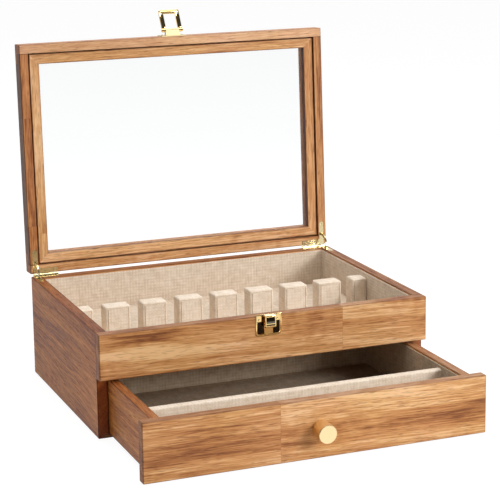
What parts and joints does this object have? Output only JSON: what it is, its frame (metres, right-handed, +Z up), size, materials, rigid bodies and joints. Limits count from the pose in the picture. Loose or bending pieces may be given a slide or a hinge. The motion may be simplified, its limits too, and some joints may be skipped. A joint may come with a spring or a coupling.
{
  "type": "silverware chest",
  "caption": "Wooden silverware chest with a hinged glazed lid, a linen-lined tray with a slotted rack, a swing latch and a lined pull-out drawer.",
  "frame": {"origin": "middle of the carcass's underside, on the ground", "axes": "+X to the chest's right seen from the front, -Y out of the front, +Z up"},
  "size_m": [0.39, 0.4761, 0.4275],
  "materials": {
    "carcass_wood": "oiled acacia boards with a satin lacquer, edges sanded round",
    "lid_wood": "oiled acacia frame with a satin lacquer",
    "drawer_wood": "oiled acacia boards with a satin lacquer",
    "linen": "undyed plain-woven linen glued over card",
    "brass": "polished brass",
    "glass": "clear float glass"
  },
  "bodies": {
    "case": {"side_left": "carcass_wood", "side_right": "carcass_wood", "back_panel": "carcass_wood", "front_panel": "carcass_wood", "tray_floor": "carcass_wood", "base_board": "carcass_wood", "tray_lining_floor": "linen", "tray_lining_front": "linen", "tray_lining_back": "linen", "tray_lining_left": "linen", "tray_lining_right": "linen", "rack_block_1": "linen", "rack_block_2": "linen", "rack_block_3": "linen", "rack_block_4": "linen", "rack_block_5": "linen", "rack_block_6": "linen", "rack_block_7": "linen", "rack_block_8": "linen", "rack_block_9": "linen", "hinge_body_leaf_left": "brass", "hinge_body_leaf_right": "brass", "hinge_pin_left": "brass", "hinge_pin_right": "brass", "hinge_body_screws": "brass", "catch_plate": "brass", "catch_nails": "brass"},
    "lid": {"lid_rail_front": "lid_wood", "lid_rail_back": "lid_wood", "lid_stile_left": "lid_wood", "lid_stile_right": "lid_wood", "glass_pane": "glass", "glazing_bead_front": "lid_wood", "glazing_bead_back": "lid_wood", "glazing_bead_left": "lid_wood", "glazing_bead_right": "lid_wood", "hinge_lid_leaf_left": "brass", "hinge_lid_leaf_right": "brass", "hinge_lid_screws": "brass", "latch_plate": "brass", "latch_nails": "brass", "latch_pin": "brass"},
    "stay_left": {"hinge_stay_left": "brass"},
    "stay_right": {"hinge_stay_right": "brass"},
    "loop": {"latch_loop": "brass"},
    "drawer": {"drawer_front": "drawer_wood", "drawer_side_left": "drawer_wood", "drawer_side_right": "drawer_wood", "drawer_back": "drawer_wood", "drawer_bottom": "drawer_wood", "drawer_divider": "linen", "drawer_lining_floor": "linen", "drawer_lining_front": "linen", "drawer_lining_back": "linen", "drawer_lining_left": "linen", "drawer_lining_right": "linen", "knob": "brass", "knob_screw": "brass"}
  },
  "joints": [
    {"name": "lid_hinge", "type": "hinge", "parent": "case", "child": "lid", "pos_m": [0, 0.14, 0.11975], "axis": [1, 0, 0], "range_deg": [0, 93]},
    {"name": "stay_left_swing", "type": "hinge", "parent": "case", "child": "stay_left", "pos_m": [0, 0.14, 0.11975], "axis": [1, 0, 0], "range_deg": [0, 46.5]},
    {"name": "stay_right_swing", "type": "hinge", "parent": "case", "child": "stay_right", "pos_m": [0, 0.14, 0.11975], "axis": [1, 0, 0], "range_deg": [0, 46.5]},
    {"name": "latch_swing", "type": "hinge", "parent": "lid", "child": "loop", "pos_m": [0, 0.16365, 0.4039], "axis": [1, 0, 0], "range_deg": [0, 117]},
    {"name": "drawer_slide", "type": "slide", "parent": "case", "child": "drawer", "axis": [0, 1, 0], "range_m": [-0.039, 0.141]}
  ],
  "couplings": [
    {"joint": "stay_left_swing", "follows": "lid_hinge", "ratio": 0.5},
    {"joint": "stay_right_swing", "follows": "lid_hinge", "ratio": 0.5}
  ]
}
